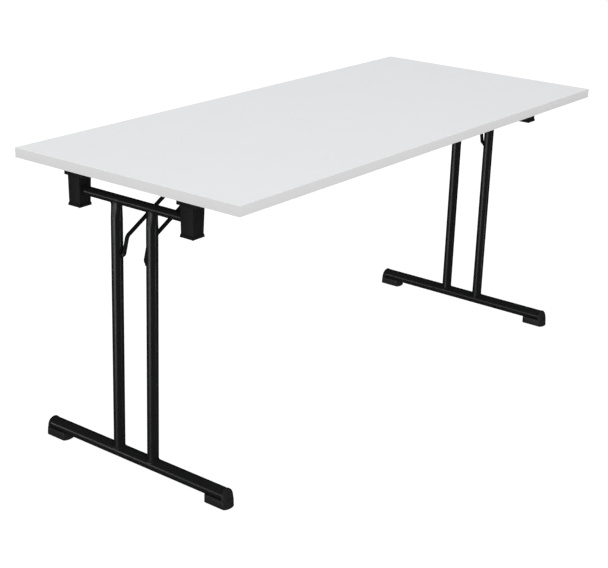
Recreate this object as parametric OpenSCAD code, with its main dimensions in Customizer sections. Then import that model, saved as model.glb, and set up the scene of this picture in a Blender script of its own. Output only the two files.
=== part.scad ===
// Folding table: a white rectangular top on two black steel leg frames.
// Each frame hangs from a crosstube that turns in two moulded hinge blocks,
// and a bent wire stay braces it. Both frames fold inwards under the top.
// Millimetres, +Z up, +X along the top. The origin is on the floor, below the centre.

/* [Top] */
// Length of the top, edge bands included
top_length = 1600; // [1300:10:1920]
// Width of the top, edge bands included
top_width = 700; // [640:10:900]
// Thickness of the top
top_thickness = 25; // [21:1:30]
// Height of the upper face above the floor
table_height = 750; // [680:5:900]
// Thickness of the edge band
edge_band = 2; // [1:0.5:4]

/* [Leg frames] */
// Distance from the end of the top to the plane of the leg frame
leg_inset = 45; // [40:1:90]
// Depth of the crosstube axis below the top's lower face
hinge_drop = 52.5; // [48:0.5:65]
// Outer diameter of the crosstube
crosstube_d = 23; // [18:0.5:27]
// Outer diameter of the two columns
column_d = 28.5; // [22:0.5:34]
// Distance between the axes of the two columns
column_spacing = 112; // [108:1:150]
// Outer diameter of the foot tube
foot_tube_d = 33; // [27:0.5:36]
// Height of the foot tube axis above the floor
foot_axis_height = 30; // [25:0.5:38]
// Overall length of a foot, caps included
foot_length = 604; // [480:4:724]
// Wall thickness of all the tubes
tube_wall = 2; // [1.5:0.1:3]

/* [Hinge blocks] */
// Distance between the centres of the two blocks of one frame
block_spacing = 355; // [320:5:430]
// Side of the square block where it meets its flange
block_top_side = 39; // [34:0.5:46]
// Side of the square block at its lower end
block_low_side = 36.5; // [32:0.5:44]
// Height of block and bumper together, below the top
block_height = 92.5; // [84:0.5:120]
// Length of the flange that carries the screws
flange_length = 61; // [60:1:80]
// Width of the flange
flange_width = 41; // [38:1:50]
// Thickness of the flange
flange_thickness = 19; // [12:1:24]
// Radial clearance of the crosstube in its block
hinge_clearance = 0.08; // [0.02:0.01:0.1]
// Depth to which the crosstube enters a block, past the block's centre
tube_past_centre = 9; // [5:1:12]
// Side of the stacking bumper under a block
bumper_side = 39.5; // [38:0.5:50]
// Height of the stacking bumper
bumper_height = 8.5; // [6:0.5:12]

/* [Wire stays] */
// Diameter of the stay wire
wire_d = 10; // [6:0.5:11]
// Distance between the two arms of a stay, centre to centre
arm_spacing = 69; // [64:1:80]
// Depth of the stay pivot below the crosstube axis
pivot_drop = 133.5; // [120:0.5:160]
// Distance of the stay's upper bar from the leg plane
bar_reach = 247; // [220:1:300]
// Depth of the upper bar's axis below the top's lower face
bar_drop = 10; // [9:0.5:14]
// Horizontal distance of the knee bend from the pivot
knee_out = 12; // [6:1:20]
// Height of the knee bend above the pivot
knee_up = 45; // [30:1:60]
// Centre-line radius of the large bends
bend_radius = 14; // [10:1:20]
// Centre-line radius of the bend at each pivot end
pivot_bend_radius = 6; // [5:0.5:8]
// Clearance round the stay in its bushes
pivot_clearance = 0.08; // [0.02:0.01:0.1]

/* [Catches and clips] */
// Width of the catch and of the storage clip
catch_width = 44; // [36:1:52]
// Thickness of their base plates
plate_thickness = 3; // [2:0.5:4]
// Clearance between the upper bar and the catch
bar_clearance = 0.4; // [0.3:0.1:1]

/* [Foot caps] */
// Length of the pad under the foot tube
pad_length = 72; // [50:1:90]
// Width of the pad
pad_width = 38; // [37:1:48]
// Height of the pad's side walls above the floor
pad_height = 21; // [15:1:28]
// Thickness of the closed end of the cap
cap_end = 12; // [6:1:16]
// Width of the arched end of the cap
cap_arch = 35; // [34:1:37]
// Corner radius of the arched end, seen from above
cap_corner = 10; // [8:0.5:15]
// Corner radius of the pad's outer end, seen from above
pad_corner = 9; // [6:0.5:12]
// Distance of the arched end from the end of its pad
cap_setback = 2.5; // [1.5:0.5:4]
// How far the arched end leans back from the pad to its top
cap_lean = 6.5; // [3:0.5:8]

/* [Screws] */
// Shank diameter of the hinge block screws
block_screw_d = 5; // [4:0.5:6]
// Head diameter of the hinge block screws
block_screw_head = 9; // [8:0.5:11]
// Distance of each block screw from the block's centre
block_screw_offset = 25; // [24.5:0.5:34]
// Depth of the block screws in the board
block_screw_bite = 17; // [12:1:19]
// Shank diameter of the catch and clip screws
clip_screw_d = 4; // [3:0.5:4.5]
// Head diameter of the catch and clip screws
clip_screw_head = 8; // [6:0.5:9]
// Depth of the catch and clip screws in the board
clip_screw_bite = 13; // [10:1:18]

/* [Hidden] */
$fn = 64;
eps = 0.05;
screw_gap = 0.1;
underside = table_height - top_thickness;
leg_x = top_length / 2 - leg_inset;
hinge_z = underside - hinge_drop;
crosstube_r = crosstube_d / 2;
crosstube_half = block_spacing / 2 + tube_past_centre;
column_r = column_d / 2;
column_y = column_spacing / 2;
column_top = hinge_z - 0.7 * crosstube_r;
foot_tube_r = foot_tube_d / 2;
foot_half = foot_length / 2;
foot_tube_half = foot_half - cap_end;
block_y = block_spacing / 2;
block_low_z = underside - block_height + bumper_height;
block_low_top_z = underside - flange_thickness;
wire_r = wire_d / 2;
pivot_z = hinge_z - pivot_drop;
bar_z = underside - bar_drop;
bush_r = wire_r + pivot_clearance + 2;
bush_flange_r = bush_r + 1.5;
bush_flange = 1.2;
column_inner_y = column_y - column_r;
flange_face_y = column_inner_y - bush_flange;
arm_y = min(arm_spacing / 2, flange_face_y - wire_r - 0.5);
pin_bend_r = max(wire_r + 0.5, min(pivot_bend_radius, flange_face_y - arm_y + 0.2));
pin_end_y = column_inner_y + 9;

// Folding geometry of a stay, seen along the crosstube
bar_rise = bar_z - pivot_z;
stay_length = sqrt(bar_reach * bar_reach + bar_rise * bar_rise);
open_angle = atan2(bar_rise, bar_reach);
folded_rise = bar_z - hinge_z;
folded_angle = asin(folded_rise / stay_length);
folded_reach = pivot_drop + stay_length * cos(folded_angle);
angle_share = (open_angle - folded_angle) / 90;
exit_x = pivot_drop + stay_length * angle_share * sin(open_angle);
exit_z = stay_length * angle_share * cos(open_angle);
exit_slope = atan2(exit_z, exit_x);
bar_gap_r = wire_r + bar_clearance;

// A bend is a hair thicker than the wire, and the straight runs enter it a little
bend_swell = 0.02;
bend_grip = 0.2;

// The places of the screws, seen from above: two in each hinge block
block_screw_places = [
    for (sx = [-1, 1], sy = [-1, 1], o = [-1, 1])
        [sx * leg_x, sy * block_y + o * block_screw_offset]
];

// Distances of the clip screws from the upper bar, along X
catch_screw_back = 26;
clip_screw_ahead = 24;

// Two screws in each catch and in each storage clip
clip_screw_places = [
    for (sx = [-1, 1], sy = [-1, 1], d = [-bar_reach + catch_screw_back, -folded_reach - clip_screw_ahead])
        [sx * (leg_x + d), sy * catch_width / 4]
];

// Draws its children at one end of the table: -1 is the left end, 1 the right end
module at_end(side) {
    if (side < 0) {
        translate([-leg_x, 0, 0]) children();
    } else {
        mirror([1, 0, 0]) translate([-leg_x, 0, 0]) children();
    }
}

// A cylinder along Y, centred on y
module rod_y(r, y0, y1) {
    translate([0, y1, 0]) rotate([90, 0, 0]) cylinder(r = r, h = y1 - y0);
}

// A square block whose four sides slope evenly from low_side to high_side
module tapered_block(low_side, high_side, z0, z1) {
    intersection() {
        taper_profile(low_side, high_side, z0, z1);
        rotate([0, 0, 90]) taper_profile(low_side, high_side, z0, z1);
    }
}

module taper_profile(low_side, high_side, z0, z1) {
    wide = max(low_side, high_side) + 2;
    translate([0, wide / 2, 0])
        rotate([90, 0, 0])
            linear_extrude(height = wide)
                polygon([
                    [-low_side / 2, z0],
                    [low_side / 2, z0],
                    [high_side / 2, z1],
                    [-high_side / 2, z1]
                ]);
}

// Top

module table_board() {
    color("whitesmoke")
        difference() {
            translate([-top_length / 2 + edge_band, -top_width / 2 + edge_band, underside])
                cube([top_length - 2 * edge_band, top_width - 2 * edge_band, top_thickness]);
            for (p = block_screw_places)
                translate([p[0], p[1], underside - 1])
                    cylinder(d = block_screw_d + screw_gap, h = block_screw_bite + 1.5);
            for (p = clip_screw_places)
                translate([p[0], p[1], underside - 1])
                    cylinder(d = clip_screw_d + screw_gap, h = clip_screw_bite + 1.5);
        }
}

module long_edge_band(side) {
    y = side < 0 ? -top_width / 2 : top_width / 2 - edge_band;
    color("gainsboro")
        translate([-top_length / 2, y, underside])
            cube([top_length, edge_band, top_thickness]);
}

module short_edge_band(side) {
    x = side < 0 ? -top_length / 2 : top_length / 2 - edge_band;
    color("gainsboro")
        translate([x, -top_width / 2 + edge_band, underside])
            cube([edge_band, top_width - 2 * edge_band, top_thickness]);
}

// Hinge blocks

module hinge_block(end, side) {
    inner_face = block_y - block_top_side / 2;
    color("#1b1b1c")
        at_end(end)
            scale_y(side)
                difference() {
                    union() {
                        translate([0, block_y, 0])
                            tapered_block(block_low_side, block_top_side, block_low_z, block_low_top_z + eps);
                        translate([-flange_width / 2, block_y - flange_length / 2, block_low_top_z])
                            cube([flange_width, flange_length, flange_thickness]);
                    }
                    translate([0, 0, hinge_z])
                        rod_y(crosstube_r + hinge_clearance, inner_face - 20, crosstube_half + 0.5);
                    for (o = [-1, 1])
                        translate([0, block_y + o * block_screw_offset, 0]) {
                            translate([0, 0, block_low_top_z - 1])
                                cylinder(d = block_screw_d + 0.5, h = flange_thickness + 2);
                            translate([0, 0, block_low_top_z - 1])
                                cylinder(d = block_screw_head + 0.5, h = 4.6);
                        }
                    translate([0, block_y, block_low_z - 1])
                        cylinder(d = 10.2, h = 13.5);
                }
}

// Puts a piece that is drawn at the back (+Y) on the side asked for
module scale_y(side) {
    if (side > 0) children();
    else mirror([0, 1, 0]) children();
}

module bumper(end, side) {
    base_z = underside - block_height;
    flare = 3;
    color("#111112")
        at_end(end)
            scale_y(side)
                translate([0, block_y, 0]) {
                    translate([-bumper_side / 2, -bumper_side / 2, base_z])
                        cube([bumper_side, bumper_side, bumper_height - flare]);
                    tapered_block(bumper_side, block_low_side, block_low_z - flare, block_low_z);
                    translate([0, 0, block_low_z - 1])
                        cylinder(d = 10, h = 13);
                }
}

module block_screws() {
    head_z = block_low_top_z + 0.5;
    color("silver")
        for (p = block_screw_places)
            translate([p[0], p[1], head_z]) {
                cylinder(d = block_screw_head, h = 3.1);
                cylinder(d = block_screw_d, h = underside - head_z + block_screw_bite);
            }
}

// Catch that holds the upper bar while the leg stands: its mouth opens along the bar's path

module stay_catch(end) {
    lip_x = 3;
    lip_z = -bar_gap_r * cos(exit_slope);
    tangent_x = -bar_gap_r * sin(exit_slope);
    ramp_z = lip_z - (lip_x - tangent_x) * tan(exit_slope);
    floor_z = -wire_r - 5;
    plate_z = bar_drop - plate_thickness;
    color("#222224")
        at_end(end)
            translate([bar_reach, catch_width / 2, bar_z])
                difference() {
                    rotate([90, 0, 0])
                        linear_extrude(height = catch_width)
                            difference() {
                                union() {
                                    translate([-catch_screw_back - 8, plate_z])
                                        square([catch_screw_back + 20, plate_thickness]);
                                    polygon([
                                        [-bar_gap_r - 11, plate_z + eps],
                                        [-bar_gap_r - 8, floor_z],
                                        [lip_x, floor_z],
                                        [lip_x, ramp_z],
                                        [tangent_x, lip_z],
                                        [-bar_gap_r, 0],
                                        [-bar_gap_r, plate_z + eps]
                                    ]);
                                }
                                circle(r = bar_gap_r);
                            }
                    for (s = [-1, 1])
                        translate([-catch_screw_back, -catch_width / 2 + s * catch_width / 4, plate_z - 1])
                            cylinder(d = clip_screw_d + 0.4, h = plate_thickness + 2);
                }
}

// Clip that holds the upper bar while the leg is folded: it opens downwards

module storage_clip(end) {
    plate_z = bar_drop - plate_thickness;
    color("#222224")
        at_end(end)
            translate([folded_reach, catch_width / 2, bar_z])
                difference() {
                    rotate([90, 0, 0])
                        linear_extrude(height = catch_width)
                            polygon([
                                [-14, bar_drop],
                                [-14, plate_z],
                                [-bar_gap_r - 5, plate_z],
                                [-bar_gap_r - 4.4, 0.5],
                                [-bar_gap_r - 1.2, 0.5],
                                [-bar_gap_r - 0.4, plate_z],
                                [bar_gap_r, plate_z],
                                [bar_gap_r, -wire_r - 2],
                                [bar_gap_r + 3, -wire_r - 2],
                                [bar_gap_r + 5, plate_z],
                                [clip_screw_ahead + 9, plate_z],
                                [clip_screw_ahead + 9, bar_drop]
                            ]);
                    for (s = [-1, 1])
                        translate([clip_screw_ahead, -catch_width / 2 + s * catch_width / 4, plate_z - 1])
                            cylinder(d = clip_screw_d + 0.4, h = plate_thickness + 2);
                }
}

module clip_screws() {
    head_z = underside - plate_thickness - 2;
    color("silver")
        for (p = clip_screw_places)
            translate([p[0], p[1], head_z]) {
                cylinder(d = clip_screw_head, h = 2);
                cylinder(d = clip_screw_d, h = 2 + plate_thickness + clip_screw_bite);
            }
}

// Leg frames

module crosstube(end) {
    color("#1c1c1d")
        at_end(end)
            translate([0, 0, hinge_z])
                difference() {
                    rod_y(crosstube_r, -crosstube_half, crosstube_half);
                    rod_y(crosstube_r - tube_wall, -crosstube_half - 1, crosstube_half + 1);
                }
}

module column(end, side) {
    color("#1c1c1d")
        at_end(end)
            scale_y(side)
                difference() {
                    translate([0, column_y, foot_axis_height])
                        cylinder(r = column_r, h = column_top - foot_axis_height);
                    translate([0, column_y, foot_axis_height - 1])
                        cylinder(r = column_r - tube_wall, h = column_top - foot_axis_height + 2);
                    translate([0, 0, foot_axis_height])
                        rod_y(foot_tube_r, 0, column_y + column_r + 5);
                    translate([0, 0, hinge_z])
                        rod_y(crosstube_r, 0, column_y + column_r + 5);
                    translate([0, 0, pivot_z])
                        rod_y(bush_r, column_inner_y - 5, column_y);
                }
}

module foot_tube(end) {
    color("#1c1c1d")
        at_end(end)
            translate([0, 0, foot_axis_height])
                difference() {
                    rod_y(foot_tube_r, -foot_tube_half, foot_tube_half);
                    rod_y(foot_tube_r - tube_wall, -foot_tube_half - 1, foot_tube_half + 1);
                }
}

// Cap of a foot: a closed arched end, a spigot inside the tube and a pad below it

module foot_cap(end, side) {
    arch_r = cap_arch / 2;
    pad_r = pad_width / 2;
    spigot_r = foot_tube_r - tube_wall - screw_gap;
    top_z = foot_axis_height + arch_r;
    lean = max(0.5, min(cap_lean, cap_end - cap_setback - 2));
    lean_from = pad_height + 2;
    lean_step = lean / (top_z - lean_from);
    end_y = foot_half - cap_setback;
    color("#161617")
        at_end(end)
            scale_y(side) {
                difference() {
                    union() {
                        linear_extrude(height = pad_height)
                            round_ended_strip(pad_r, pad_corner, foot_half - pad_length, foot_half);
                        intersection() {
                            linear_extrude(height = top_z + 1)
                                round_ended_strip(arch_r + 0.5, cap_corner, foot_tube_half, end_y);
                            translate([-arch_r - 1, 0, 0])
                                rotate([90, 0, 90])
                                    linear_extrude(height = cap_arch + 2)
                                        polygon([
                                            [foot_tube_half - 3, -1],
                                            [end_y + lean_step * (lean_from + 1), -1],
                                            [end_y - lean - lean_step, top_z + 1],
                                            [foot_tube_half - 3, top_z + 1]
                                        ]);
                            translate([0, foot_half + 1, 0])
                                rotate([90, 0, 0])
                                    linear_extrude(height = cap_end + 1) {
                                        translate([0, foot_axis_height]) circle(r = arch_r);
                                        translate([-arch_r, 1]) square([cap_arch, foot_axis_height - 1]);
                                    }
                        }
                    }
                    translate([0, 0, foot_axis_height])
                        rod_y(foot_tube_r, foot_half - pad_length - 5, foot_tube_half);
                }
                translate([0, 0, foot_axis_height])
                    rod_y(spigot_r, foot_tube_half - 30, foot_tube_half + 1);
            }
}

// A strip from y0 to y1 whose two outer corners, at y1, are rounded
module round_ended_strip(half_width, corner, y0, y1) {
    difference() {
        translate([-half_width, min(y0, y1 - corner)])
            square([2 * half_width, max(y1 - y0, corner)]);
        for (s = [-1, 1])
            mirror([s < 0 ? 1 : 0, 0])
                difference() {
                    translate([half_width - corner, y1 - corner]) square([corner + 1, corner + 1]);
                    translate([half_width - corner, y1 - corner]) circle(r = corner);
                }
    }
}

module stay_bushes(end) {
    color("#0f0f10")
        at_end(end)
            for (s = [-1, 1])
                scale_y(s)
                    translate([0, 0, pivot_z])
                        difference() {
                            union() {
                                rod_y(bush_r - 0.01, column_inner_y - bush_flange, column_inner_y + 4.5);
                                rod_y(bush_flange_r, column_inner_y - bush_flange, column_inner_y - 0.01);
                            }
                            rod_y(wire_r + pivot_clearance, column_inner_y - 5, column_inner_y + 9);
                        }
}

// Wire stay: one bar bent along six corners

function unit(v) = v / norm(v);
function leg_tangent(a, b, c, r) =
    let (turn = acos(unit(b - a) * unit(c - b)))
        r * tan(turn / 2);

module straight_wire(a, b, r) {
    d = b - a;
    z = unit(d);
    helper = abs(z[1]) > 0.9 ? [1, 0, 0] : [0, 1, 0];
    x = unit(cross(helper, z));
    y = cross(z, x);
    multmatrix([
        [x[0], y[0], z[0], a[0]],
        [x[1], y[1], z[1], a[1]],
        [x[2], y[2], z[2], a[2]],
        [0, 0, 0, 1]
    ])
        cylinder(r = r, h = norm(d));
}

module wire_elbow(a, b, c, bend, r) {
    u = unit(b - a);
    w = unit(c - b);
    turn = acos(u * w);
    centre = b + unit(w - u) * bend / cos(turn / 2);
    start = b - u * bend * tan(turn / 2);
    x = unit(start - centre);
    z = cross(x, u);
    multmatrix([
        [x[0], u[0], z[0], centre[0]],
        [x[1], u[1], z[1], centre[1]],
        [x[2], u[2], z[2], centre[2]],
        [0, 0, 0, 1]
    ])
        rotate_extrude(angle = turn)
            translate([bend, 0]) circle(r = r);
}

module wire_stay(end) {
    path = [
        [0, -pin_end_y, pivot_z],
        [0, -arm_y, pivot_z],
        [knee_out, -arm_y, pivot_z + knee_up],
        [bar_reach, -arm_y, bar_z],
        [bar_reach, arm_y, bar_z],
        [knee_out, arm_y, pivot_z + knee_up],
        [0, arm_y, pivot_z],
        [0, pin_end_y, pivot_z]
    ];
    bends = [
        0,
        pin_bend_r,
        bend_radius,
        bend_radius,
        bend_radius,
        bend_radius,
        pin_bend_r,
        0
    ];
    last = len(path) - 1;
    trim = [
        for (i = [0 : last])
            i == 0 || i == last ? 0 : leg_tangent(path[i - 1], path[i], path[i + 1], bends[i])
    ];
    color("#1a1a1b")
        at_end(end) {
            for (i = [0 : last - 1]) {
                u = unit(path[i + 1] - path[i]);
                grip_a = i == 0 ? 0 : bend_grip;
                grip_b = i == last - 1 ? 0 : bend_grip;
                a = path[i] + u * (trim[i] - grip_a);
                b = path[i + 1] - u * (trim[i + 1] - grip_b);
                straight_wire(a, b, wire_r);
            }
            for (i = [1 : last - 1])
                wire_elbow(path[i - 1], path[i], path[i + 1], bends[i], wire_r + bend_swell);
        }
}

table_board();
long_edge_band(-1);  // edge_band_front
long_edge_band(1);  // edge_band_back
short_edge_band(-1);  // edge_band_left
short_edge_band(1);  // edge_band_right
hinge_block(-1, -1);  // hinge_block_left_front
hinge_block(-1, 1);  // hinge_block_left_back
hinge_block(1, -1);  // hinge_block_right_front
hinge_block(1, 1);  // hinge_block_right_back
bumper(-1, -1);  // bumper_left_front
bumper(-1, 1);  // bumper_left_back
bumper(1, -1);  // bumper_right_front
bumper(1, 1);  // bumper_right_back
block_screws();
stay_catch(-1);  // stay_catch_left
stay_catch(1);  // stay_catch_right
storage_clip(-1);  // storage_clip_left
storage_clip(1);  // storage_clip_right
clip_screws();
crosstube(-1);  // crosstube_left
column(-1, -1);  // column_left_front
column(-1, 1);  // column_left_back
foot_tube(-1);  // foot_tube_left
foot_cap(-1, -1);  // foot_cap_left_front
foot_cap(-1, 1);  // foot_cap_left_back
stay_bushes(-1);  // stay_bushes_left
wire_stay(-1);  // wire_stay_left
crosstube(1);  // crosstube_right
column(1, -1);  // column_right_front
column(1, 1);  // column_right_back
foot_tube(1);  // foot_tube_right
foot_cap(1, -1);  // foot_cap_right_front
foot_cap(1, 1);  // foot_cap_right_back
stay_bushes(1);  // stay_bushes_right
wire_stay(1);  // wire_stay_right
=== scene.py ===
import math

import bmesh
import bpy
from mathutils import Matrix, Quaternion, Vector


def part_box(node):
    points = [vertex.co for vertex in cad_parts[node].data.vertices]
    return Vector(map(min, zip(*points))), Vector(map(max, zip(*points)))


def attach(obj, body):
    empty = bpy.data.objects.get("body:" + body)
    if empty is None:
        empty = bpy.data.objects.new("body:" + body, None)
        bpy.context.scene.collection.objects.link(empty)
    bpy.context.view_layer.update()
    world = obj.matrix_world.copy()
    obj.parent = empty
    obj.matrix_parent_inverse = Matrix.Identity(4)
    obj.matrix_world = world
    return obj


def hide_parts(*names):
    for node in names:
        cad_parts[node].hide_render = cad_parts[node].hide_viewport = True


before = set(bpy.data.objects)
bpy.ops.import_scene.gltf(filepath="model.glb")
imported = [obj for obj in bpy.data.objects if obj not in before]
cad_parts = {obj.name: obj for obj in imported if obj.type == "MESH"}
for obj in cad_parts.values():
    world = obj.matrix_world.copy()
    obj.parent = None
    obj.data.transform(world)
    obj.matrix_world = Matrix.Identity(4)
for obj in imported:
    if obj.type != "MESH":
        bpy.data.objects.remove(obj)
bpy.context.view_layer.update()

mm = 0.001


# ------------------------------------------------------------------ Studio
# A plain pale floor under soft light from all round, and the camera at a
# standing person's eye height, looking down on the table from its left front.
camera_data = bpy.data.cameras.new("studio_camera")
camera = bpy.data.objects.new("studio_camera", camera_data)
bpy.context.scene.collection.objects.link(camera)
bpy.context.scene.camera = camera
camera_data.lens = 81.89
camera_data.shift_x = 0.08
camera_data.shift_y = -0.05
camera.location = (-2.9278, -2.1072, 1.5998)
yaw, pitch, roll = (math.radians(a) for a in (38.841, 19.063, -1.249))
level = math.cos(pitch)
forward = Vector((level * math.cos(yaw), level * math.sin(yaw), -math.sin(pitch)))
camera.rotation_mode = "QUATERNION"
camera.rotation_quaternion = Quaternion(forward, roll) @ forward.to_track_quat("-Z", "Y")

bpy.context.scene.view_settings.view_transform = "Standard"
world = bpy.data.worlds.new("studio_dome")
bpy.context.scene.world = world
world.use_nodes = True
world.node_tree.nodes["Background"].inputs["Color"].default_value = (1.0, 1.0, 1.0, 1.0)
world.node_tree.nodes["Background"].inputs["Strength"].default_value = 0.92
world.cycles_visibility.glossy = False

overhead = bpy.data.lights.new("overhead_softbox", "AREA")
overhead.shape = "RECTANGLE"
overhead.size, overhead.size_y, overhead.energy = 9.0, 7.0, 340.0
overhead_lamp = bpy.data.objects.new("overhead_softbox", overhead)
bpy.context.scene.collection.objects.link(overhead_lamp)
overhead_lamp.location = (0.0, 0.0, 7.5)
overhead_lamp.visible_glossy = False


def all_deselected():
    """Leaves edit mode and deselects everything."""
    if bpy.context.object and bpy.context.object.mode != "OBJECT":
        bpy.ops.object.mode_set(mode="OBJECT")
    bpy.ops.object.select_all(action="DESELECT")


def linear(hex_colour):
    """The linear colour of an sRGB hex value."""
    parts = [int(hex_colour[i : i + 2], 16) / 255 for i in (1, 3, 5)]
    parts = [c / 12.92 if c <= 0.04045 else ((c + 0.055) / 1.055) ** 2.4 for c in parts]
    return (*parts, 1.0)


def add_node(tree, kind, inputs=None, links=None, **settings):
    """Adds a node, sets its properties and input values, and links its inputs."""
    new = tree.nodes.new(kind)
    for key, value in settings.items():
        setattr(new, key, value)
    for key, value in (inputs or {}).items():
        new.inputs[key].default_value = value
    for key, source in (links or {}).items():
        tree.links.new(source, new.inputs[key])
    return new


def new_finish(name):
    """An empty material and its node tree."""
    material = bpy.data.materials.new(name)
    material.use_nodes = True
    material.node_tree.nodes.clear()
    return material, material.node_tree


# A pale floor lit from below, as a shooting table is, so shadows hardly show on
# it. Clouds 0.9 m across make it a trace uneven.
floor_paint, tree = new_finish("matt_studio_floor")
place = add_node(tree, "ShaderNodeTexCoord").outputs["Object"]
cloud = add_node(
    tree, "ShaderNodeTexNoise", {"Scale": 1 / (900 * mm), "Detail": 2.0}, {"Vector": place}
)
shade = add_node(
    tree,
    "ShaderNodeMix",
    {6: linear("#5C5C5C"), 7: linear("#646464")},
    {"Factor": cloud.outputs["Fac"]},
    data_type="RGBA",
)
surface = add_node(
    tree,
    "ShaderNodeBsdfPrincipled",
    {
        "Roughness": 0.9,
        "Specular IOR Level": 0.1,
        "Emission Color": (1.0, 1.0, 1.0, 1.0),
        "Emission Strength": 0.95,
    },
    {"Base Color": shade.outputs[2]},
)
add_node(tree, "ShaderNodeOutputMaterial", links={"Surface": surface.outputs["BSDF"]})
all_deselected()
bpy.ops.mesh.primitive_plane_add(size=60.0, location=(0.0, 0.0, 0.0))
floor = bpy.context.object
floor.name = "studio_floor"
floor.data.materials.append(floor_paint)
floor.visible_glossy = False

# Three glowing panels reach below the floor's level, out of sight. Only gloss
# shows them, as the soft lines along the tubes. Each has its direction, its
# spread, the elevations of its two edges from aim_height, and its strength.
panel_distance = 9.0
aim_height = 0.4
for name, azimuth, spread_angle, low_angle, high_angle, glow in (
    ("left_glow_panel", 171.0, 32.0, -22.0, -4.0, 2.6),
    ("low_glow_panel", 141.0, 12.0, -13.0, -2.5, 3.6),
    ("front_glow_panel", 282.0, 12.0, -24.0, -14.0, 4.4),
):
    panel_paint, tree = new_finish(name + "_light")
    lamp = add_node(tree, "ShaderNodeEmission", {"Color": (1.0, 1.0, 1.0, 1.0), "Strength": glow})
    add_node(tree, "ShaderNodeOutputMaterial", links={"Surface": lamp.outputs["Emission"]})
    low_edge = panel_distance * math.tan(math.radians(low_angle)) + aim_height
    high_edge = panel_distance * math.tan(math.radians(high_angle)) + aim_height
    width = 2 * panel_distance * math.tan(math.radians(spread_angle / 2))
    turn = math.radians(azimuth)
    all_deselected()
    bpy.ops.mesh.primitive_plane_add(
        size=1.0,
        location=(
            panel_distance * math.cos(turn),
            panel_distance * math.sin(turn),
            (low_edge + high_edge) / 2,
        ),
        rotation=(math.pi / 2, 0.0, turn - math.pi / 2),
    )
    panel = bpy.context.object
    panel.name = name
    panel.scale = (width, high_edge - low_edge, 1.0)
    bpy.ops.object.transform_apply(location=True, rotation=True, scale=True)
    panel.data.materials.append(panel_paint)
    panel.visible_camera = panel.visible_diffuse = panel.visible_shadow = False
    panel.visible_transmission = panel.visible_volume_scatter = False


# --------------------------------------------------------------- Table board
# The panel is chipboard with a white melamine decor pressed on both faces.
# Its pearl structure is a very shallow orange peel that keeps the sheen soft.
melamine, tree = new_finish("melamine_faced_chipboard")
place = add_node(tree, "ShaderNodeTexCoord").outputs["Object"]
# Pearls 1.6 mm across soften the sheen; a 90 mm haze shifts the tone by a trace.
pearl = add_node(
    tree, "ShaderNodeTexNoise", {"Scale": 1 / (1.6 * mm), "Detail": 1.0}, {"Vector": place}
)
haze = add_node(
    tree, "ShaderNodeTexNoise", {"Scale": 1 / (90 * mm), "Detail": 3.0}, {"Vector": place}
)
gloss = add_node(
    tree,
    "ShaderNodeMapRange",
    {"From Min": 0.3, "From Max": 0.7, "To Min": 0.33, "To Max": 0.41},
    {"Value": pearl.outputs["Fac"]},
)
shade = add_node(
    tree,
    "ShaderNodeMix",
    {6: linear("#D1D2D3"), 7: linear("#D3D4D5")},
    {"Factor": haze.outputs["Fac"]},
    data_type="RGBA",
)
relief = add_node(
    tree,
    "ShaderNodeBump",
    {"Strength": 1.0, "Distance": 0.02 * mm},
    {"Height": pearl.outputs["Fac"]},
)
surface = add_node(
    tree,
    "ShaderNodeBsdfPrincipled",
    {"IOR": 1.5, "Specular IOR Level": 0.25},
    {
        "Base Color": shade.outputs[2],
        "Roughness": gloss.outputs["Result"],
        "Normal": relief.outputs["Normal"],
    },
)
add_node(tree, "ShaderNodeOutputMaterial", links={"Surface": surface.outputs["BSDF"]})


def coat(node, material):
    """Gives a node that keeps its shape a better surface."""
    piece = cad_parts[node]
    for i in range(len(piece.material_slots)):
        piece.material_slots[i].material = material
    if not piece.material_slots:
        piece.data.materials.append(material)


coat("table_board", melamine)
# The pale underside isn't mirrored in the crosstubes, which stay dark.
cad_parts["table_board"].visible_glossy = False


# ---------------------------------------------------------------- Edge bands
# Four strips of 2 mm ABS are glued round the panel and trimmed with a small
# radius, so the rim catches a thin line of light. Faint lines run along them.
abs_edge, tree = new_finish("abs_edge_band")
place = add_node(tree, "ShaderNodeTexCoord").outputs["Object"]
# Drawn lines 0.9 mm high and 45 mm long give the band its grain along the edge,
# and a 60 mm drift shifts its tone by a trace.
stretched = add_node(
    tree, "ShaderNodeMapping", {"Scale": (0.02, 0.02, 1.0)}, {"Vector": place}
)
drawn = add_node(
    tree,
    "ShaderNodeTexNoise",
    {"Scale": 1 / (0.9 * mm), "Detail": 2.0},
    {"Vector": stretched.outputs["Vector"]},
)
drift = add_node(
    tree, "ShaderNodeTexNoise", {"Scale": 1 / (60 * mm), "Detail": 3.0}, {"Vector": place}
)
gloss = add_node(
    tree,
    "ShaderNodeMapRange",
    {"From Min": 0.3, "From Max": 0.7, "To Min": 0.38, "To Max": 0.48},
    {"Value": drawn.outputs["Fac"]},
)
shade = add_node(
    tree,
    "ShaderNodeMix",
    {6: linear("#D1D1D1"), 7: linear("#D3D3D3")},
    {"Factor": drift.outputs["Fac"]},
    data_type="RGBA",
)
relief = add_node(
    tree,
    "ShaderNodeBump",
    {"Strength": 1.0, "Distance": 0.015 * mm},
    {"Height": drawn.outputs["Fac"]},
)
surface = add_node(
    tree,
    "ShaderNodeBsdfPrincipled",
    {"IOR": 1.52, "Specular IOR Level": 0.25},
    {
        "Base Color": shade.outputs[2],
        "Roughness": gloss.outputs["Result"],
        "Normal": relief.outputs["Normal"],
    },
)
add_node(tree, "ShaderNodeOutputMaterial", links={"Surface": surface.outputs["BSDF"]})

band_radius = 1.2 * mm
tolerance = 0.1 * mm


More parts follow.
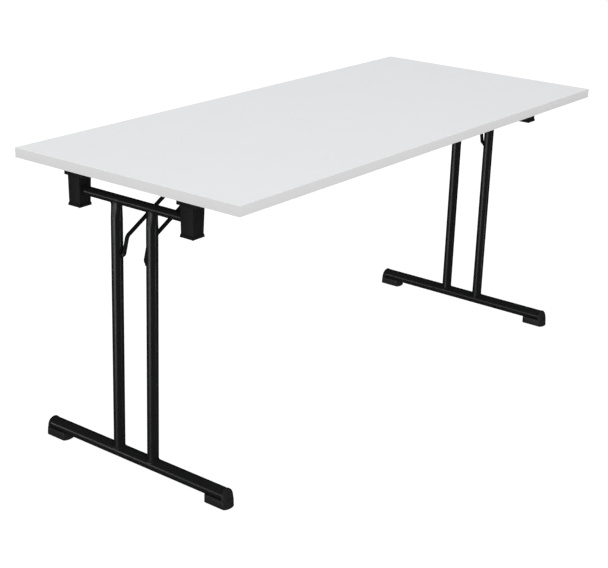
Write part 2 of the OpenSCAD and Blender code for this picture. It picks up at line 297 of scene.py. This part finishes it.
def block(name, low, high):
    """A box between two corners, ready to be shaped, with its place in its mesh."""
    all_deselected()
    low, high = Vector(low), Vector(high)
    bpy.ops.mesh.primitive_cube_add(size=1.0, location=(low + high) / 2)
    piece = bpy.context.object
    piece.name = name
    piece.scale = high - low
    bpy.ops.object.transform_apply(location=True, rotation=True, scale=True)
    return piece


def only_active(piece):
    """Deselects everything else and makes a piece the active one."""
    all_deselected()
    piece.select_set(True)
    bpy.context.view_layer.objects.active = piece


def edges_picked(piece, test):
    """Edit mode, with the edges selected that the test accepts by their two ends."""
    only_active(piece)
    bpy.ops.object.mode_set(mode="EDIT")
    bpy.ops.mesh.select_mode(type="EDGE")
    bpy.ops.mesh.select_all(action="DESELECT")
    shape = bmesh.from_edit_mesh(piece.data)
    for edge in shape.edges:
        edge.select_set(bool(test(edge.verts[0].co, edge.verts[1].co)))
    bmesh.update_edit_mesh(piece.data)


def edges_rounded(piece, radius, segments, test):
    """Bevels the edges that the test accepts."""
    edges_picked(piece, test)
    bpy.ops.mesh.bevel(offset=radius, segments=segments, profile=0.5, affect="EDGES")
    bpy.ops.object.mode_set(mode="OBJECT")


def surfaced(piece, material, body, slot, *nodes, angle=35):
    """Last steps of a piece: smooth shading by angle, material and body. The slot is not used."""
    only_active(piece)
    bpy.ops.object.shade_smooth_by_angle(angle=math.radians(angle))
    piece.data.materials.clear()
    piece.data.materials.append(material)
    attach(piece, body)
    if nodes:
        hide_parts(*nodes)


for side in ("front", "back", "left", "right"):
    low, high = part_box("edge_band_" + side)
    band = block("trimmed_edge_band_" + side, low, high)
    along = 0 if side in ("front", "back") else 1
    across = 1 - along
    outer = low[across] if side in ("front", "left") else high[across]

    def is_trimmed(a, b, along=along, across=across, outer=outer):
        on_rim = max(abs(a[across] - outer), abs(b[across] - outer)) < tolerance
        is_corner = abs(a[2] - b[2]) > mm
        return on_rim and (not is_corner or along == 0)

    edges_rounded(band, band_radius, 3, is_trimmed)
    surfaced(band, abs_edge, "tabletop", "abs_edging", "edge_band_" + side)


# -------------------------------------------------------------- Hinge blocks
# Each block is moulded in black glass-filled polyamide, with a tapered body,
# a flange for its two screws and a plain bore where the crosstube goes in.
polyamide, tree = new_finish("moulded_glass_filled_polyamide")
place = add_node(tree, "ShaderNodeTexCoord").outputs["Object"]
# Fibres at the surface give a 0.7 mm grain, and the flow of the melt leaves
# duller and glossier areas 25 mm across.
glint = add_node(
    tree, "ShaderNodeTexNoise", {"Scale": 1 / (0.7 * mm), "Detail": 2.0}, {"Vector": place}
)
flow = add_node(
    tree, "ShaderNodeTexNoise", {"Scale": 1 / (25 * mm), "Detail": 3.0}, {"Vector": place}
)
gloss = add_node(
    tree,
    "ShaderNodeMapRange",
    {"From Min": 0.3, "From Max": 0.7, "To Min": 0.44, "To Max": 0.54},
    {"Value": flow.outputs["Fac"]},
)
shade = add_node(
    tree,
    "ShaderNodeMix",
    {6: linear("#161617"), 7: linear("#1B1B1C")},
    {"Factor": flow.outputs["Fac"]},
    data_type="RGBA",
)
relief = add_node(
    tree,
    "ShaderNodeBump",
    {"Strength": 1.0, "Distance": 0.03 * mm},
    {"Height": glint.outputs["Fac"]},
)
surface = add_node(
    tree,
    "ShaderNodeBsdfPrincipled",
    {"IOR": 1.53, "Specular IOR Level": 0.25},
    {
        "Base Color": shade.outputs[2],
        "Roughness": gloss.outputs["Result"],
        "Normal": relief.outputs["Normal"],
    },
)
add_node(tree, "ShaderNodeOutputMaterial", links={"Surface": surface.outputs["BSDF"]})

hinge_low, hinge_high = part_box("crosstube_left")
leg_x = -(hinge_low[0] + hinge_high[0]) / 2
hinge_z = (hinge_low[2] + hinge_high[2]) / 2
tube_radius = (hinge_high[2] - hinge_low[2]) / 2
block_low, block_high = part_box("hinge_block_left_back")
bumper_low, bumper_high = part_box("bumper_left_back")
block_y = (bumper_low[1] + bumper_high[1]) / 2
flange_top = block_high[2]
flange_bottom = flange_top - 19 * mm
flange_half = 30.5 * mm
body_top, body_low = 39 * mm, 36.5 * mm
body_round = 1.0 * mm
screw_offset = 25 * mm
well_radius, well_depth = 4.75 * mm, 3.6 * mm
bore_clearance = 0.1 * mm
bore_past_middle = 9.5 * mm


def cut_or_join(piece, tool, operation):
    """Joins a second shape to a piece, or cuts the piece with it."""
    only_active(piece)
    step = piece.modifiers.new("shape", "BOOLEAN")
    step.operation, step.object, step.solver = operation, tool, "EXACT"
    bpy.ops.object.modifier_apply(modifier=step.name)
    bpy.data.objects.remove(tool, do_unlink=True)


def round_bar(name, radius, start, end, sides=64, end_radius=None):
    """A round bar, or a cone with its own end radius, between two points."""
    all_deselected()
    start, end = Vector(start), Vector(end)
    bpy.ops.mesh.primitive_cone_add(
        vertices=sides,
        radius1=radius,
        radius2=radius if end_radius is None else end_radius,
        depth=(end - start).length,
        location=(start + end) / 2,
        rotation=(end - start).to_track_quat("Z", "Y").to_euler(),
    )
    bar = bpy.context.object
    bar.name = name
    bpy.ops.object.transform_apply(location=True, rotation=True, scale=True)
    return bar


def narrowed(piece, height, factor_x, factor_y, centre):
    """Scales the corners at one height about a centre line."""
    for v in piece.data.vertices:
        if abs(v.co.z - height) < tolerance:
            v.co.x = centre[0] + (v.co.x - centre[0]) * factor_x
            v.co.y = centre[1] + (v.co.y - centre[1]) * factor_y


def copied(piece, name, matrix):
    """A copy with its own mesh, moved or mirrored in the mesh."""
    twin = piece.copy()
    twin.data = piece.data.copy()
    twin.name = name
    bpy.context.scene.collection.objects.link(twin)
    twin.data.transform(matrix)
    if matrix.determinant() < 0:
        only_active(twin)
        bpy.ops.object.mode_set(mode="EDIT")
        bpy.ops.mesh.select_all(action="SELECT")
        bpy.ops.mesh.remove_doubles(threshold=0.001 * mm)
        bpy.ops.mesh.normals_make_consistent(inside=False)
        bpy.ops.object.mode_set(mode="OBJECT")
    return twin


centre = (-leg_x, block_y)
half = body_top / 2
master = block(
    "block_master",
    (centre[0] - half, centre[1] - half, block_low[2]),
    (centre[0] + half, centre[1] + half, flange_bottom + 2 * mm),
)
taper = body_low / body_top
narrowed(master, block_low[2], taper, taper, centre)
edges_rounded(master, body_round, 3, lambda a, b: abs(a.z - b.z) > 20 * mm)
flange = block(
    "flange",
    (block_low[0], centre[1] - flange_half, flange_bottom),
    (block_high[0], centre[1] + flange_half, flange_top),
)
edges_rounded(flange, 1.5 * mm, 3, lambda a, b: abs(a.z - b.z) > 5 * mm)
edges_rounded(
    flange,
    0.8 * mm,
    2,
    lambda a, b: max(abs(a.z - flange_bottom), abs(b.z - flange_bottom)) < tolerance,
)
cut_or_join(master, flange, "UNION")
cut_or_join(
    master,
    round_bar(
        "bore",
        tube_radius + bore_clearance,
        (centre[0], centre[1] - half - 20 * mm, hinge_z),
        (centre[0], centre[1] + bore_past_middle, hinge_z),
    ),
    "DIFFERENCE",
)
for o in (-1, 1):
    y = centre[1] + o * screw_offset
    cut_or_join(
        master,
        round_bar(
            "well",
            well_radius,
            (centre[0], y, flange_bottom - 1 * mm),
            (centre[0], y, flange_bottom + well_depth),
            32,
        ),
        "DIFFERENCE",
    )

for end, x_sign in (("left", 1), ("right", -1)):
    for side, y_sign in (("front", -1), ("back", 1)):
        node = "hinge_block_" + end + "_" + side
        piece = copied(master, "moulded_" + node, Matrix.Diagonal((x_sign, y_sign, 1, 1)))
        surfaced(piece, polyamide, "tabletop", "moulded_polyamide", node)
bpy.data.objects.remove(master, do_unlink=True)


# ---------------------------------------------------------- Stacking bumpers
# Under each block a soft black rubber foot flares out, so folded tables can
# lie on each other without scratching. Its underside is hollowed a little.
rubber, tree = new_finish("thermoplastic_rubber")
place = add_node(tree, "ShaderNodeTexCoord").outputs["Object"]
# A 0.5 mm grain keeps the rubber dull, with a bloom in patches of 14 mm.
matt = add_node(
    tree, "ShaderNodeTexNoise", {"Scale": 1 / (0.5 * mm), "Detail": 2.0}, {"Vector": place}
)
bloom = add_node(
    tree, "ShaderNodeTexNoise", {"Scale": 1 / (14 * mm), "Detail": 3.0}, {"Vector": place}
)
gloss = add_node(
    tree,
    "ShaderNodeMapRange",
    {"From Min": 0.3, "From Max": 0.7, "To Min": 0.66, "To Max": 0.78},
    {"Value": bloom.outputs["Fac"]},
)
shade = add_node(
    tree,
    "ShaderNodeMix",
    {6: linear("#131313"), 7: linear("#171717")},
    {"Factor": bloom.outputs["Fac"]},
    data_type="RGBA",
)
relief = add_node(
    tree,
    "ShaderNodeBump",
    {"Strength": 1.0, "Distance": 0.02 * mm},
    {"Height": matt.outputs["Fac"]},
)
surface = add_node(
    tree,
    "ShaderNodeBsdfPrincipled",
    {"IOR": 1.5},
    {
        "Base Color": shade.outputs[2],
        "Roughness": gloss.outputs["Result"],
        "Normal": relief.outputs["Normal"],
    },
)
add_node(tree, "ShaderNodeOutputMaterial", links={"Surface": surface.outputs["BSDF"]})

bumper_base = bumper_low[2]
bumper_half = (bumper_high[1] - bumper_low[1]) / 2
wall_height, flare_height = 5.5 * mm, 3 * mm
hollow_margin, hollow_depth = 6 * mm, 2 * mm
neck = body_low / bumper_half / 2
master = block(
    "bumper_master",
    (centre[0] - bumper_half, centre[1] - bumper_half, bumper_base),
    (centre[0] + bumper_half, centre[1] + bumper_half, bumper_base + wall_height),
)


def faces_picked(piece, test):
    """Edit mode, with the faces selected that the test accepts by centre and normal."""
    only_active(piece)
    bpy.ops.object.mode_set(mode="EDIT")
    bpy.ops.mesh.select_mode(type="FACE")
    bpy.ops.mesh.select_all(action="DESELECT")
    shape = bmesh.from_edit_mesh(piece.data)
    for face in shape.faces:
        face.select_set(bool(test(face.calc_center_median(), face.normal)))
    bmesh.update_edit_mesh(piece.data)


faces_picked(master, lambda c, n: n.z > 0.9)
bpy.ops.mesh.extrude_region_move(TRANSFORM_OT_translate={"value": (0, 0, flare_height)})
bpy.ops.object.mode_set(mode="OBJECT")
narrowed(master, bumper_base + wall_height + flare_height, neck, neck, centre)
faces_picked(master, lambda c, n: n.z < -0.9)
bpy.ops.mesh.inset(thickness=hollow_margin)
bpy.ops.mesh.extrude_region_move(TRANSFORM_OT_translate={"value": (0, 0, hollow_depth)})
bpy.ops.object.mode_set(mode="OBJECT")
edges_rounded(
    master,
    1.0 * mm,
    3,
    lambda a, b: abs(a.z - b.z) > 1 * mm and abs(a.x - centre[0]) > 15 * mm,
)
edges_rounded(
    master,
    0.8 * mm,
    2,
    lambda a, b: abs(a.z - b.z) < tolerance
    and a.z < bumper_base + 6 * mm
    and abs(max(abs(a.x - centre[0]), abs(a.y - centre[1])) - bumper_half) < 2.5 * mm,
)
for end, x_sign in (("left", 1), ("right", -1)):
    for side, y_sign in (("front", -1), ("back", 1)):
        node = "bumper_" + end + "_" + side
        piece = copied(master, "flared_" + node, Matrix.Diagonal((x_sign, y_sign, 1, 1)))
        surfaced(piece, rubber, "tabletop", "bumper_rubber", node)
bpy.data.objects.remove(master, do_unlink=True)


# ------------------------------------------------------------ Steel tubework
# Crosstubes, columns and foot tubes are welded steel tube in black powder
# coat: an even low sheen, a very fine orange peel and no bare metal.
powder_coat, tree = new_finish("black_powder_coated_steel")
place = add_node(tree, "ShaderNodeTexCoord").outputs["Object"]
# Orange peel 1.1 mm across breaks the highlights up a little, and the sheen
# drifts over 40 mm.
peel = add_node(
    tree, "ShaderNodeTexNoise", {"Scale": 1 / (1.1 * mm), "Detail": 2.0}, {"Vector": place}
)
cloud = add_node(
    tree, "ShaderNodeTexNoise", {"Scale": 1 / (40 * mm), "Detail": 3.0}, {"Vector": place}
)
gloss = add_node(
    tree,
    "ShaderNodeMapRange",
    {"From Min": 0.3, "From Max": 0.7, "To Min": 0.26, "To Max": 0.34},
    {"Value": cloud.outputs["Fac"]},
)
shade = add_node(
    tree,
    "ShaderNodeMix",
    {6: linear("#161617"), 7: linear("#191A1B")},
    {"Factor": cloud.outputs["Fac"]},
    data_type="RGBA",
)
relief = add_node(
    tree,
    "ShaderNodeBump",
    {"Strength": 1.0, "Distance": 0.02 * mm},
    {"Height": peel.outputs["Fac"]},
)
surface = add_node(
    tree,
    "ShaderNodeBsdfPrincipled",
    {"IOR": 1.5},
    {
        "Base Color": shade.outputs[2],
        "Roughness": gloss.outputs["Result"],
        "Normal": relief.outputs["Normal"],
    },
)
add_node(tree, "ShaderNodeOutputMaterial", links={"Surface": surface.outputs["BSDF"]})

for end in ("left", "right"):
    coat("crosstube_" + end, powder_coat)
    coat("foot_tube_" + end, powder_coat)


# ------------------------------------------------------------------- Columns
# Two round tubes stand between crosstube and foot tube. Their upper ends are
# pressed to the crosstube's width before they are coped and welded to it.
foot_low, foot_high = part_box("foot_tube_left")
foot_z = (foot_low[2] + foot_high[2]) / 2
foot_radius = (foot_high[2] - foot_low[2]) / 2
column_low, column_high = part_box("column_left_back")
column_y = (column_low[1] + column_high[1]) / 2
column_radius = (column_high[0] - column_low[0]) / 2
pressed_x = (tube_radius - 0.3 * mm) / column_radius
pressed_y = 1.07
press_start, press_length, press_step = hinge_z - 50 * mm, 36 * mm, 5 * mm


def ringed(piece, axis, places):
    """Adds a ring of corners round a piece at each place along an axis."""
    only_active(piece)
    bpy.ops.object.mode_set(mode="EDIT")
    for place in places:
        bpy.ops.mesh.select_all(action="SELECT")
        bpy.ops.mesh.bisect(plane_co=[place * a for a in axis], plane_no=axis)
    bpy.ops.object.mode_set(mode="OBJECT")


column_master = round_bar(
    "column_master",
    column_radius,
    (-leg_x, column_y, foot_z + 4 * mm),
    (-leg_x, column_y, hinge_z - 5 * mm),
)
ringed(column_master, (0, 0, 1), [press_start + k * press_step for k in range(9)])
for v in column_master.data.vertices:
    along = min(1.0, max(0.0, (v.co.z - press_start) / press_length))
    ease = along * along * (3 - 2 * along)
    v.co.x = -leg_x + (v.co.x + leg_x) * (1 + (pressed_x - 1) * ease)
    v.co.y = column_y + (v.co.y - column_y) * (1 + (pressed_y - 1) * ease)

for end, x_sign in (("left", 1), ("right", -1)):
    for side, y_sign in (("front", -1), ("back", 1)):
        node = "column_" + end + "_" + side
        piece = copied(column_master, "pressed_" + node, Matrix.Diagonal((x_sign, y_sign, 1, 1)))
        surfaced(piece, powder_coat, "leg_" + end, "powder_coated_steel", node)
bpy.data.objects.remove(column_master, do_unlink=True)


# ---------------------------------------------------------------- Weld beads
# A ring of weld joins each column to the tube it stands on and to the one it
# carries. The bead follows the saddle of the joint and has the torch's ripples.
def weld_ring(name, tube_z, radius, ring_x, ring_y, below):
    """A rippled bead round the left back column, laid on a tube's surface."""
    bead, thin = 1.7 * mm, 0.1
    all_deselected()
    bpy.ops.mesh.primitive_torus_add(
        major_segments=112,
        minor_segments=10,
        major_radius=1.0,
        minor_radius=thin,
        location=(0, 0, 0),
    )
    ring = bpy.context.object
    ring.name = name
    for v in ring.data.vertices:
        turn = math.atan2(v.co.y, v.co.x)
        out = (math.hypot(v.co.x, v.co.y) - 1.0) / thin
        up = v.co.z / thin
        swell = bead * (1 + 0.12 * math.sin(turn * 34) + 0.05 * math.sin(turn * 5 + 1.3))
        x = (ring_x + out * swell) * math.cos(turn)
        y = (ring_y + out * swell) * math.sin(turn)
        saddle = math.sqrt(max(radius * radius - min(abs(x), radius * 0.98) ** 2, 0.0))
        z = tube_z + (-saddle if below else saddle) + up * swell
        v.co = (-leg_x + x, column_y + y, z)
    return ring


low_ring = weld_ring("low_ring", foot_z, foot_radius, column_radius, column_radius, False)
high_ring = weld_ring(
    "high_ring", hinge_z, tube_radius, column_radius * pressed_x, column_radius * pressed_y, True
)
for end, x_sign in (("left", 1), ("right", -1)):
    for side, y_sign in (("front", -1), ("back", 1)):
        for ring, height in ((low_ring, "foot"), (high_ring, "head")):
            name = "weld_" + height + "_" + end + "_" + side
            piece = copied(ring, name, Matrix.Diagonal((x_sign, y_sign, 1, 1)))
            surfaced(piece, powder_coat, "leg_" + end, "powder_coated_steel", angle=80)
bpy.data.objects.remove(low_ring, do_unlink=True)
bpy.data.objects.remove(high_ring, do_unlink=True)


# ----------------------------------------------------------------- Foot caps
# Each end of a foot tube is closed by a black polypropylene cap: an arched
# end, rounded over, and a broad pad under the tube that stands on the floor.
polypropylene, tree = new_finish("moulded_polypropylene")
place = add_node(tree, "ShaderNodeTexCoord").outputs["Object"]
# A spark-eroded mould leaves a 0.6 mm grain, and the melt leaves duller and
# glossier areas 30 mm across.
spark = add_node(
    tree, "ShaderNodeTexNoise", {"Scale": 1 / (0.6 * mm), "Detail": 2.0}, {"Vector": place}
)
flow = add_node(
    tree, "ShaderNodeTexNoise", {"Scale": 1 / (30 * mm), "Detail": 3.0}, {"Vector": place}
)
gloss = add_node(
    tree,
    "ShaderNodeMapRange",
    {"From Min": 0.3, "From Max": 0.7, "To Min": 0.42, "To Max": 0.52},
    {"Value": flow.outputs["Fac"]},
)
shade = add_node(
    tree,
    "ShaderNodeMix",
    {6: linear("#1D1D1E"), 7: linear("#232324")},
    {"Factor": flow.outputs["Fac"]},
    data_type="RGBA",
)
relief = add_node(
    tree,
    "ShaderNodeBump",
    {"Strength": 1.0, "Distance": 0.025 * mm},
    {"Height": spark.outputs["Fac"]},
)
surface = add_node(
    tree,
    "ShaderNodeBsdfPrincipled",
    {"IOR": 1.49},
    {
        "Base Color": shade.outputs[2],
        "Roughness": gloss.outputs["Result"],
        "Normal": relief.outputs["Normal"],
    },
)
add_node(tree, "ShaderNodeOutputMaterial", links={"Surface": surface.outputs["BSDF"]})

cap_low, cap_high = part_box("foot_cap_left_back")
pad_half = (cap_high[0] - cap_low[0]) / 2
cap_end_y = cap_high[1]
pad_top = cap_low[2] + 21 * mm
arch_radius = cap_high[2] - foot_z
tube_end = foot_high[1]
arch_end = cap_end_y - 3.5 * mm
arch_lean = 5.5 * mm
lean_from = pad_top + 2 * mm
pad_inner = cap_end_y - 72 * mm
pad_outer_bow, pad_inner_bow = 10 * mm, 8.5 * mm
pad_lean, pad_lean_length = 1.5 * mm, 20 * mm
sleeve = 4 * mm
stem_depth = foot_z - cap_low[2] - 4 * mm
dome, dome_rings = 8 * mm, 8
seat_clearance, seat_depth = 0.05 * mm, 0.2 * mm
tread_count, tread_pitch, first_tread = 4, 12 * mm, 20 * mm
tread_half, tread_depth, tread_margin = 1.5 * mm, 1 * mm, 6 * mm

cap_master = block(
    "cap_master",
    (-leg_x - pad_half, pad_inner, cap_low[2]),
    (-leg_x + pad_half, cap_end_y, pad_top),
)
end_round = pad_half - 0.4 * mm
edges_rounded(cap_master, end_round, 14, lambda a, b: abs(a.z - b.z) > 10 * mm)
for v in cap_master.data.vertices:
    from_outer, from_inner = cap_end_y - v.co.y, v.co.y - pad_inner
    if from_outer < end_round:
        v.co.y = cap_end_y - from_outer * pad_outer_bow / end_round
    elif from_inner < end_round:
        v.co.y = pad_inner + from_inner * pad_inner_bow / end_round
edges_rounded(
    cap_master,
    1.4 * mm,
    3,
    lambda a, b: max(abs(a.z - pad_top), abs(b.z - pad_top)) < tolerance,
)
edges_rounded(
    cap_master,
    1.0 * mm,
    2,
    lambda a, b: max(abs(a.z - cap_low[2]), abs(b.z - cap_low[2])) < tolerance,
)
for v in cap_master.data.vertices:
    outward = max(0.0, (v.co.y - cap_end_y + pad_lean_length) / pad_lean_length)
    v.co.y -= outward * pad_lean * (v.co.z - cap_low[2]) / (pad_top - cap_low[2])

# The lower half of a round bar is drawn out to a straight-sided stem, which
# goes down into the pad. Then its end is domed and its top leans back.
arch = round_bar(
    "arch", arch_radius, (-leg_x, tube_end - sleeve, foot_z), (-leg_x, arch_end, foot_z), 72
)
for v in arch.data.vertices:
    down = (foot_z - v.co.z) / arch_radius
    if down > 0.001:
        side = max(-1.0, min(1.0, (v.co.x + leg_x) / arch_radius * math.sqrt(2)))
        v.co.x = -leg_x + arch_radius * side
        v.co.z = foot_z - stem_depth * min(1.0, down * math.sqrt(2))
dome_turns = [math.radians(k * 90 / dome_rings) for k in range(dome_rings)]
ringed(arch, (0, 1, 0), [arch_end - dome * (1 - math.sin(turn)) for turn in dome_turns])
for v in arch.data.vertices:
    depth = max(0.0, v.co.y - arch_end + dome)
    shrink = 1 - (dome - math.sqrt(max(0.0, dome**2 - depth**2))) / arch_radius
    v.co.x = -leg_x + (v.co.x + leg_x) * shrink
    if v.co.z > foot_z:
        v.co.z = foot_z + (v.co.z - foot_z) * shrink
    along = (v.co.y - tube_end + sleeve) / (arch_end - tube_end + sleeve)
    v.co.y -= along * arch_lean * max(0.0, v.co.z - lean_from) / (cap_high[2] - lean_from)
cut_or_join(cap_master, arch, "UNION")
cut_or_join(
    cap_master,
    round_bar(
        "tube_seat",
        foot_radius + seat_clearance,
        (-leg_x, pad_inner - 10 * mm, foot_z),
        (-leg_x, tube_end + seat_depth, foot_z),
        72,
    ),
    "DIFFERENCE",
)
for k in range(tread_count):
    y = cap_end_y - first_tread - k * tread_pitch
    groove = block(
        "tread",
        (-leg_x - pad_half + tread_margin, y - tread_half, cap_low[2] - tread_depth),
        (-leg_x + pad_half - tread_margin, y + tread_half, cap_low[2] + tread_depth),
    )
    cut_or_join(cap_master, groove, "DIFFERENCE")

for end, x_sign in (("left", 1), ("right", -1)):
    for side, y_sign in (("front", -1), ("back", 1)):
        node = "foot_cap_" + end + "_" + side
        piece = copied(cap_master, "moulded_" + node, Matrix.Diagonal((x_sign, y_sign, 1, 1)))
        surfaced(piece, polypropylene, "leg_" + end, "moulded_polypropylene", node)
bpy.data.objects.remove(cap_master, do_unlink=True)


# ----------------------------------------------- Wire stays and their bushes
# Each stay is one steel bar bent cold to a long bail, coated black. Its two
# ends turn outwards through flanged bushes in the columns' inner walls.
coated_wire, tree = new_finish("black_coated_steel_bar")
place = add_node(tree, "ShaderNodeTexCoord").outputs["Object"]
# Orange peel 0.9 mm across breaks the highlights up a little, and the sheen
# drifts over 18 mm.
peel = add_node(
    tree, "ShaderNodeTexNoise", {"Scale": 1 / (0.9 * mm), "Detail": 2.0}, {"Vector": place}
)
drift = add_node(
    tree, "ShaderNodeTexNoise", {"Scale": 1 / (18 * mm), "Detail": 3.0}, {"Vector": place}
)
gloss = add_node(
    tree,
    "ShaderNodeMapRange",
    {"From Min": 0.3, "From Max": 0.7, "To Min": 0.26, "To Max": 0.36},
    {"Value": drift.outputs["Fac"]},
)
shade = add_node(
    tree,
    "ShaderNodeMix",
    {6: linear("#151516"), 7: linear("#19191A")},
    {"Factor": drift.outputs["Fac"]},
    data_type="RGBA",
)
relief = add_node(
    tree,
    "ShaderNodeBump",
    {"Strength": 1.0, "Distance": 0.02 * mm},
    {"Height": peel.outputs["Fac"]},
)
surface = add_node(
    tree,
    "ShaderNodeBsdfPrincipled",
    {"IOR": 1.5},
    {
        "Base Color": shade.outputs[2],
        "Roughness": gloss.outputs["Result"],
        "Normal": relief.outputs["Normal"],
    },
)
add_node(tree, "ShaderNodeOutputMaterial", links={"Surface": surface.outputs["BSDF"]})

for end in ("left", "right"):
    coat("wire_stay_" + end, coated_wire)
    coat("stay_bushes_" + end, polyamide)


# ------------------------------------------------- Stay catch, storage clip
# Two small polyamide mouldings hold the stay's upper bar under the top: one
# when the leg stands, one when it is folded. All their edges are eased.
def eased(node, name, radius):
    """A copy of a node's shape with its sharp edges eased, as a mould leaves them."""
    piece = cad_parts[node].copy()
    piece.data = piece.data.copy()
    piece.name = name
    piece.parent = None
    bpy.context.scene.collection.objects.link(piece)
    only_active(piece)
    bpy.ops.object.mode_set(mode="EDIT")
    bpy.ops.mesh.select_all(action="SELECT")
    bpy.ops.mesh.remove_doubles(threshold=0.01 * mm)
    bpy.ops.mesh.dissolve_limited(angle_limit=math.radians(2))
    bpy.ops.object.mode_set(mode="OBJECT")
    step = piece.modifiers.new("eased", "BEVEL")
    step.width, step.segments = radius, 2
    step.limit_method, step.angle_limit = "ANGLE", math.radians(40)
    bpy.ops.object.modifier_apply(modifier=step.name)
    return piece


for end in ("left", "right"):
    for part in ("stay_catch_", "storage_clip_"):
        piece = eased(part + end, "eased_" + part + end, 0.5 * mm)
        surfaced(piece, polyamide, "tabletop", "moulded_polyamide", part + end)


# -------------------------------------------------------------------- Screws
# Zinc-plated pan-head screws with a cross recess hold blocks, catches and
# clips to the underside. Only their heads show, looking up from below.
zinc, tree = new_finish("bright_zinc_plated_steel")
place = add_node(tree, "ShaderNodeTexCoord").outputs["Object"]
# The plating is cloudy over 1.5 mm, and its tone shifts over 4 mm.
plating = add_node(
    tree, "ShaderNodeTexNoise", {"Scale": 1 / (1.5 * mm), "Detail": 2.0}, {"Vector": place}
)
tone = add_node(
    tree, "ShaderNodeTexNoise", {"Scale": 1 / (4 * mm), "Detail": 3.0}, {"Vector": place}
)
gloss = add_node(
    tree,
    "ShaderNodeMapRange",
    {"From Min": 0.3, "From Max": 0.7, "To Min": 0.26, "To Max": 0.42},
    {"Value": plating.outputs["Fac"]},
)
shade = add_node(
    tree,
    "ShaderNodeMix",
    {6: linear("#B2B5B0"), 7: linear("#C1C2C0")},
    {"Factor": tone.outputs["Fac"]},
    data_type="RGBA",
)
relief = add_node(
    tree,
    "ShaderNodeBump",
    {"Strength": 1.0, "Distance": 0.004 * mm},
    {"Height": plating.outputs["Fac"]},
)
surface = add_node(
    tree,
    "ShaderNodeBsdfPrincipled",
    {"Metallic": 1.0},
    {
        "Base Color": shade.outputs[2],
        "Roughness": gloss.outputs["Result"],
        "Normal": relief.outputs["Normal"],
    },
)
add_node(tree, "ShaderNodeOutputMaterial", links={"Surface": surface.outputs["BSDF"]})


def pan_screw(name, head_radius, head_height, shank_radius, length):
    """A screw at the origin: its head's flat side up, its shank above it."""
    recess_depth = head_height * 0.62
    head = round_bar(name, head_radius, (0, 0, 0), (0, 0, head_height), 32)
    faces_picked(head, lambda c, n: n.z < -0.9)
    bpy.ops.mesh.bevel(offset=head_height * 0.55, segments=4, profile=0.5, affect="EDGES")
    bpy.ops.object.mode_set(mode="OBJECT")
    for turn in (0, 90):
        arm = block(
            "recess",
            (-head_radius * 0.5, -head_radius * 0.13, -0.2 * mm),
            (head_radius * 0.5, head_radius * 0.13, recess_depth),
        )
        narrowed(arm, recess_depth, 0.45, 0.8, (0, 0))
        arm.data.transform(Matrix.Rotation(math.radians(turn), 4, "Z"))
        cut_or_join(head, arm, "DIFFERENCE")
    shank = round_bar("shank", shank_radius, (0, 0, head_height * 0.9), (0, 0, length), 16)
    cut_or_join(head, shank, "UNION")
    return head


def screws_at(node, name, screw, places, z):
    """One piece with the same screw at each place, each left at another turn."""
    turn_step = 37
    all_deselected()
    row = []
    for i, (x, y) in enumerate(places):
        turn = Matrix.Rotation(math.radians(turn_step * i % 90), 4, "Z")
        row.append(copied(screw, name, Matrix.Translation((x, y, z)) @ turn))
    bpy.data.objects.remove(screw, do_unlink=True)
    for one in row:
        one.select_set(True)
    bpy.context.view_layer.objects.active = row[0]
    bpy.ops.object.join()
    surfaced(row[0], zinc, "tabletop", "zinc_screws", node)


screw_low, screw_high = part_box("block_screws")
point = 1 * mm
screws_at(
    "block_screws",
    "pan_head_block_screws",
    pan_screw(
        "block_screw", 4.5 * mm, 3.1 * mm, 2.4 * mm, screw_high[2] - screw_low[2] - point
    ),
    [
        (sx * leg_x, sy * block_y + o * screw_offset)
        for sx in (-1, 1)
        for sy in (-1, 1)
        for o in (-1, 1)
    ],
    screw_low[2],
)
clip_low, clip_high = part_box("clip_screws")
catch_screw_x = -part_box("stay_catch_left")[0][0] - 8 * mm
storage_screw_x = -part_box("storage_clip_left")[1][0] + 9 * mm
clip_screw_y = 11 * mm
screws_at(
    "clip_screws",
    "pan_head_clip_screws",
    pan_screw("clip_screw", 4 * mm, 2 * mm, 1.95 * mm, clip_high[2] - clip_low[2] - point),
    [
        (sx * x, sy * clip_screw_y)
        for sx in (-1, 1)
        for sy in (-1, 1)
        for x in (catch_screw_x, storage_screw_x)
    ],
    clip_low[2],
)
